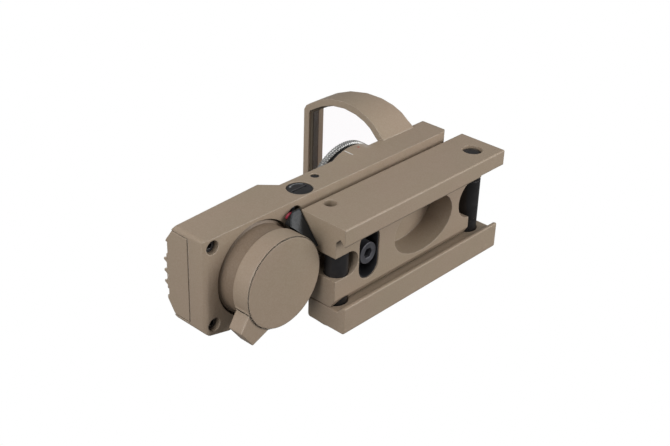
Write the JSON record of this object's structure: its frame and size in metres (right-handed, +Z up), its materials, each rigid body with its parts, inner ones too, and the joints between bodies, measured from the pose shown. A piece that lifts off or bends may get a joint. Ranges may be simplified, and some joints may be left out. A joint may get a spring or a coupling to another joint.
{
  "type": "red dot sight",
  "caption": "Open reflex red dot sight: leaning coated lens in a hood on a bar body, knurled brightness wheel, coin-cell drum and a cross-bolt rail clamp underneath.",
  "frame": {"origin": "middle of the mount's underside deck, the flat that rests on the rail, halfway between the two clamp lips", "axes": "+X looks at the target along the rail, +Y is the user's left, +Z is up through the lens hood"},
  "size_m": [0.09, 0.0377, 0.0524],
  "materials": {
    "body_paint": "sand-coloured satin paint on cast aluminium",
    "mount_paint": "sand-coloured satin paint on extruded aluminium",
    "black_steel": "black oxide",
    "bright_steel": "plain",
    "spring_brass": "plain",
    "black_plastic": "glossy",
    "dull_plastic": "moulded",
    "red_plastic": "glossy",
    "green_board": "solder mask",
    "seal_rubber": "moulded",
    "coated_glass": "red-reflecting coating",
    "knurled_metal": "fine straight knurl"
  },
  "bodies": {
    "sight": {"main_body": "body_paint", "reflex_lens": "coated_glass", "lens_gasket": "seal_rubber", "housing_lid": "body_paint", "lid_screw_1": "black_steel", "lid_screw_2": "black_steel", "rear_cover": "body_paint", "click_ball": "bright_steel", "click_spring": "bright_steel", "windage_lock_screw": "black_steel", "elevation_lock_screw": "black_steel", "circuit_board": "green_board", "battery_drum": "body_paint", "coin_cell": "bright_steel", "cell_spring": "spring_brass", "lead_boot": "black_plastic", "supply_wire": "red_plastic", "slot_liner": "dull_plastic", "rail_mount": "mount_paint", "mount_screw": "bright_steel", "mount_dowel": "bright_steel", "housing_screw_right": "black_steel", "housing_screw_left": "black_steel"},
    "selector": {"reticle_selector": "body_paint", "reticle_strip": "dull_plastic"},
    "windage_dial": {"windage_screw": "black_steel"},
    "elevation_dial": {"elevation_screw": "black_steel"},
    "carriage": {"windage_carriage": "bright_steel"},
    "emitter": {"emitter_block": "dull_plastic", "led_emitter": "red_plastic"},
    "wheel": {"brightness_wheel": "knurled_metal", "wheel_cap": "body_paint", "wheel_axle": "bright_steel", "wheel_wiper": "spring_brass"},
    "cap_seal": {"cap_gasket": "seal_rubber"},
    "cap": {"battery_cap": "body_paint", "cap_contact": "spring_brass"},
    "jaw": {"clamp_jaw": "mount_paint"},
    "rear_bolt": {"rear_clamp_bolt": "black_steel"},
    "front_bolt": {"front_clamp_bolt": "black_steel"}
  },
  "joints": [
    {"name": "selector_slide", "type": "slide", "parent": "sight", "child": "selector", "axis": [0, 1, 0], "range_m": [-0.003, 0.0015]},
    {"name": "windage_shift", "type": "slide", "parent": "sight", "child": "carriage", "axis": [0, 1, 0], "range_m": [-0.0008, 0.0008]},
    {"name": "windage_turn", "type": "hinge", "parent": "sight", "child": "windage_dial", "pos_m": [-0.0134, -0.01385, 0.0167], "axis": [0, 1, 0], "range_deg": [-577, 577]},
    {"name": "elevation_shift", "type": "slide", "parent": "carriage", "child": "emitter", "axis": [0, 0, 1], "range_m": [-0.00015, 0.0006]},
    {"name": "elevation_turn", "type": "hinge", "parent": "sight", "child": "elevation_dial", "pos_m": [-0.029, -0.00225, 0.0259], "axis": [0, 0, 1], "range_deg": [-109, 433]},
    {"name": "brightness_turn", "type": "hinge", "parent": "sight", "child": "wheel", "pos_m": [0.0119, -0.00225, 0.0255], "axis": [0, 0, 1], "range_deg": [-150, 150]},
    {"name": "cap_pull", "type": "slide", "parent": "sight", "child": "cap_seal", "axis": [0, 0, -1], "range_m": [0, 0.006]},
    {"name": "cap_turn", "type": "hinge", "parent": "cap_seal", "child": "cap", "pos_m": [-0.031, -0.00155, 0.0059], "axis": [0, 0, 1], "range_deg": [-60, 0]},
    {"name": "jaw_slide", "type": "slide", "parent": "sight", "child": "jaw", "axis": [0, 1, 0], "range_m": [0, 0.004]},
    {"name": "rear_bolt_turn", "type": "hinge", "parent": "jaw", "child": "rear_bolt", "pos_m": [-0.0143, 0.01275, 0.0033], "axis": [0, 1, 0], "range_deg": [0, 1805]},
    {"name": "front_bolt_turn", "type": "hinge", "parent": "jaw", "child": "front_bolt", "pos_m": [0.0371, 0.01275, 0.0033], "axis": [0, 1, 0], "range_deg": [0, 1805]}
  ],
  "couplings": [
    {"joint": "windage_turn", "follows": "windage_shift", "rad_per_m": 12566},
    {"joint": "elevation_turn", "follows": "elevation_shift", "rad_per_m": 12566},
    {"joint": "rear_bolt_turn", "follows": "jaw_slide", "rad_per_m": 7854},
    {"joint": "front_bolt_turn", "follows": "jaw_slide", "rad_per_m": 7854}
  ]
}
